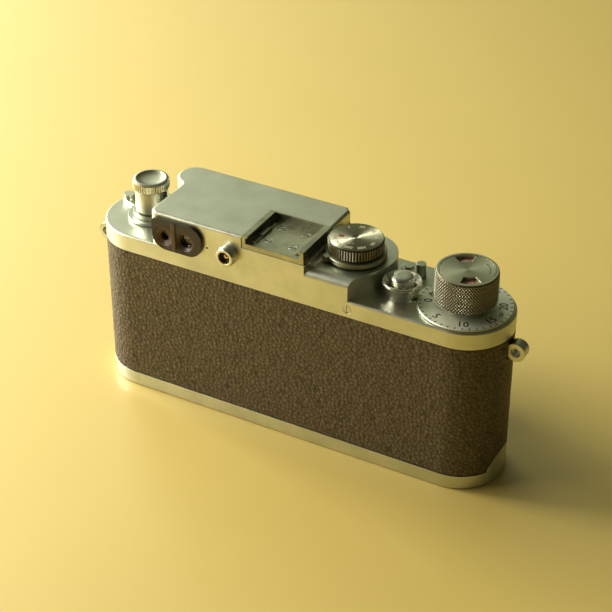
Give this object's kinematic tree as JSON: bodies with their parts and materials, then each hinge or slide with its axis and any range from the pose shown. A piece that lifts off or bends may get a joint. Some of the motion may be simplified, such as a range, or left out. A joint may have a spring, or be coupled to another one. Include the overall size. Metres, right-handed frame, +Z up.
{
  "type": "rangefinder camera",
  "caption": "Compact 35 mm rangefinder camera with collapsible lens, satin chrome top, brown grained covering, knob wind, finder housing and accessory shoe.",
  "frame": {"origin": "middle of the base plate's resting face", "axes": "+X towards the rewind end, -Y towards the subject through the lens, +Z up"},
  "size_m": [0.1458, 0.0546, 0.069],
  "materials": {
    "satin_chrome": "satin chrome plate on brass, rubbed at the edges",
    "brown_leatherette": "fine-grained brown-black moulded covering",
    "aluminium": "dull blackened casting and sheet",
    "black_enamel": "semi-gloss black enamel",
    "brass": "machined brass",
    "steel": "bright turned steel",
    "glass": "polished glass",
    "red_enamel": "red enamelled disc",
    "black_plastic": "moulded insulator",
    "shutter_cloth": "rubberised black cloth"
  },
  "bodies": {
    "camera_body": {"accessory_shoe": "satin_chrome", "body_shell": "aluminium", "crate_bottom_plate": "aluminium", "crate_top_plate": "aluminium", "eyepiece_plate": "black_enamel", "eyepieces": "black_enamel", "film_gate": "aluminium", "finder_glasses": "glass", "leather_cover": "brown_leatherette", "lens_barrel": "satin_chrome", "lens_mount_ring": "satin_chrome", "pressure_plate": "black_enamel", "rangefinder_optics": "glass", "release_collar": "satin_chrome", "release_spring": "steel", "shoe_springs": "steel", "shutter_curtains": "shutter_cloth", "slotted_screws": "steel", "strap_lug_rewind_end": "satin_chrome", "strap_lug_wind_end": "satin_chrome", "sync_contact": "brass", "sync_insulator": "black_plastic", "sync_socket": "satin_chrome", "top_cover": "satin_chrome", "viewfinder_tunnel": "aluminium", "window_frames": "satin_chrome"},
    "wind": {"wind_knob": "satin_chrome", "wind_shaft": "steel", "film_reminder_scale": "red_enamel"},
    "reminder_cap": {"film_reminder_cap": "satin_chrome"},
    "takeup": {"takeup_spool": "black_enamel"},
    "counter": {"frame_counter_dial": "satin_chrome"},
    "film_sprocket": {"sprocket": "steel"},
    "drum": {"shutter_drum": "black_enamel"},
    "first_roller": {"opening_roller": "steel"},
    "second_roller": {"closing_roller": "steel"},
    "dial_sleeve": {"speed_dial_sleeve": "brass"},
    "speed_dial_turning": {"speed_dial": "satin_chrome"},
    "sync_ring": {"sync_dial": "satin_chrome"},
    "release": {"release_button": "satin_chrome"},
    "reversing": {"reversing_lever": "satin_chrome"},
    "rewind_slide": {"rewind_collar": "satin_chrome"},
    "rewind": {"rewind_knob": "satin_chrome", "rewind_fork": "steel"},
    "dioptre": {"dioptre_lever": "satin_chrome"},
    "dioptre_optic": {"dioptre_cell": "brass"},
    "slow_dial": {"slow_speed_dial": "satin_chrome"},
    "base": {"base_plate": "satin_chrome", "tripod_bush": "satin_chrome"},
    "lock": {"lock_disc": "satin_chrome", "lock_latch": "steel"},
    "key": {"lock_key": "satin_chrome"},
    "focus": {"focus_ring": "satin_chrome"},
    "carriage": {"lens_carriage": "brass"},
    "ranging_arm": {"rangefinder_arm": "brass"},
    "lens_unit": {"lens_tube": "satin_chrome", "lens_head": "satin_chrome", "lens_elements": "glass", "iris": "black_enamel"},
    "aperture": {"aperture_ring": "satin_chrome"}
  },
  "joints": [
    {"name": "wind_turn", "type": "hinge", "parent": "camera_body", "child": "wind", "pos_m": [-0.0532, 0, 0.052], "axis": [0, 0, -1], "range_deg": [0, 267.9]},
    {"name": "reminder_turn", "type": "hinge", "parent": "wind", "child": "reminder_cap", "pos_m": [-0.0532, 0, 0.052], "axis": [0, 0, 1], "continuous": true},
    {"name": "takeup_turn", "type": "hinge", "parent": "camera_body", "child": "takeup", "pos_m": [-0.0532, 0, 0.052], "axis": [0, 0, -1], "range_deg": [0, 268.9]},
    {"name": "counter_turn", "type": "hinge", "parent": "camera_body", "child": "counter", "pos_m": [-0.0532, 0, 0.052], "axis": [0, 0, -1], "range_deg": [0, 360]},
    {"name": "sprocket_turn", "type": "hinge", "parent": "camera_body", "child": "film_sprocket", "pos_m": [-0.03486, 0.0039, 0.052], "axis": [0, 0, -1], "range_deg": [-361, 0]},
    {"name": "drum_turn", "type": "hinge", "parent": "camera_body", "child": "drum", "pos_m": [-0.0178, 0, 0.052], "axis": [0, 0, -1], "range_deg": [0, 304]},
    {"name": "opening_roller_turn", "type": "hinge", "parent": "camera_body", "child": "first_roller", "pos_m": [0.0295, 0.0036, 0.03], "axis": [0, 0, -1], "range_deg": [0, 760]},
    {"name": "closing_roller_turn", "type": "hinge", "parent": "camera_body", "child": "second_roller", "pos_m": [0.036, 0.0036, 0.03], "axis": [0, 0, -1], "range_deg": [0, 760]},
    {"name": "dial_lift", "type": "slide", "parent": "drum", "child": "dial_sleeve", "axis": [0, 0, 1], "range_m": [0, 0.0015]},
    {"name": "dial_turn", "type": "hinge", "parent": "dial_sleeve", "child": "speed_dial_turning", "pos_m": [-0.0178, 0, 0.052], "axis": [0, 0, 1], "range_deg": [0, 290]},
    {"name": "sync_turn", "type": "hinge", "parent": "camera_body", "child": "sync_ring", "pos_m": [-0.0178, 0, 0.052], "axis": [0, 0, 1], "range_deg": [0, 250]},
    {"name": "release_press", "type": "slide", "parent": "camera_body", "child": "release", "axis": [0, 0, -1], "range_m": [0, 0.0018], "stiffness_N_per_m": 900, "springref_m": -0.0012, "deforming": ["release_spring"]},
    {"name": "reversing_swing", "type": "hinge", "parent": "camera_body", "child": "reversing", "pos_m": [-0.0305, -0.0096, 0.056], "axis": [0, 0, 1], "range_deg": [0, 45]},
    {"name": "rewind_pull", "type": "slide", "parent": "camera_body", "child": "rewind_slide", "axis": [0, 0, 1], "range_m": [0, 0.0035]},
    {"name": "rewind_turn", "type": "hinge", "parent": "rewind_slide", "child": "rewind", "pos_m": [0.0532, 0, 0.056], "axis": [0, 0, 1], "continuous": true},
    {"name": "dioptre_turn", "type": "hinge", "parent": "camera_body", "child": "dioptre", "pos_m": [0.0532, 0, 0.056], "axis": [0, 0, 1], "range_deg": [-20, 20]},
    {"name": "dioptre_slide", "type": "slide", "parent": "camera_body", "child": "dioptre_optic", "axis": [0, 1, 0], "range_m": [-0.0006, 0.0006]},
    {"name": "slow_dial_turn", "type": "hinge", "parent": "camera_body", "child": "slow_dial", "pos_m": [-0.037, -0.017, 0.037], "axis": [0, -1, 0], "range_deg": [0, 230]},
    {"name": "base_removal", "type": "slide", "parent": "camera_body", "child": "base", "axis": [0, 0, -1], "range_m": [0, 0.04]},
    {"name": "lock_turn", "type": "hinge", "parent": "base", "child": "lock", "pos_m": [0.05, 0, 0.001], "axis": [0, 0, 1], "range_deg": [0, 180]},
    {"name": "key_fold", "type": "hinge", "parent": "lock", "child": "key", "pos_m": [0.05, 0, 0.00065], "axis": [-1, 0, 0], "range_deg": [0, 90]},
    {"name": "focus_turn", "type": "hinge", "parent": "camera_body", "child": "focus", "pos_m": [0.005, 0, 0.0285], "axis": [0, -1, 0], "range_deg": [0, 180]},
    {"name": "carriage_slide", "type": "slide", "parent": "camera_body", "child": "carriage", "axis": [0, -1, 0], "range_m": [0, 0.003]},
    {"name": "ranging_arm_swing", "type": "hinge", "parent": "camera_body", "child": "ranging_arm", "pos_m": [0.027, -0.0088, 0.045], "axis": [0, 0, 1], "range_deg": [0, 8]},
    {"name": "lens_draw", "type": "slide", "parent": "carriage", "child": "lens_unit", "axis": [0, -1, 0], "range_m": [0, 0.024]},
    {"name": "aperture_turn", "type": "hinge", "parent": "lens_unit", "child": "aperture", "pos_m": [0.005, 0, 0.0285], "axis": [0, -1, 0], "range_deg": [0, 100]}
  ],
  "couplings": [
    {"joint": "takeup_turn", "follows": "wind_turn", "ratio": 1},
    {"joint": "counter_turn", "follows": "wind_turn", "ratio": 0.033595},
    {"joint": "sprocket_turn", "follows": "wind_turn", "ratio": -1.3438},
    {"joint": "drum_turn", "follows": "wind_turn", "ratio": 1.1316},
    {"joint": "opening_roller_turn", "follows": "wind_turn", "ratio": 2.8289},
    {"joint": "closing_roller_turn", "follows": "wind_turn", "ratio": 2.8289},
    {"joint": "dioptre_slide", "follows": "dioptre_turn", "m_per_rad": 0.0014324},
    {"joint": "carriage_slide", "follows": "focus_turn", "m_per_rad": 0.0009231},
    {"joint": "ranging_arm_swing", "follows": "focus_turn", "ratio": 0.042082}
  ]
}
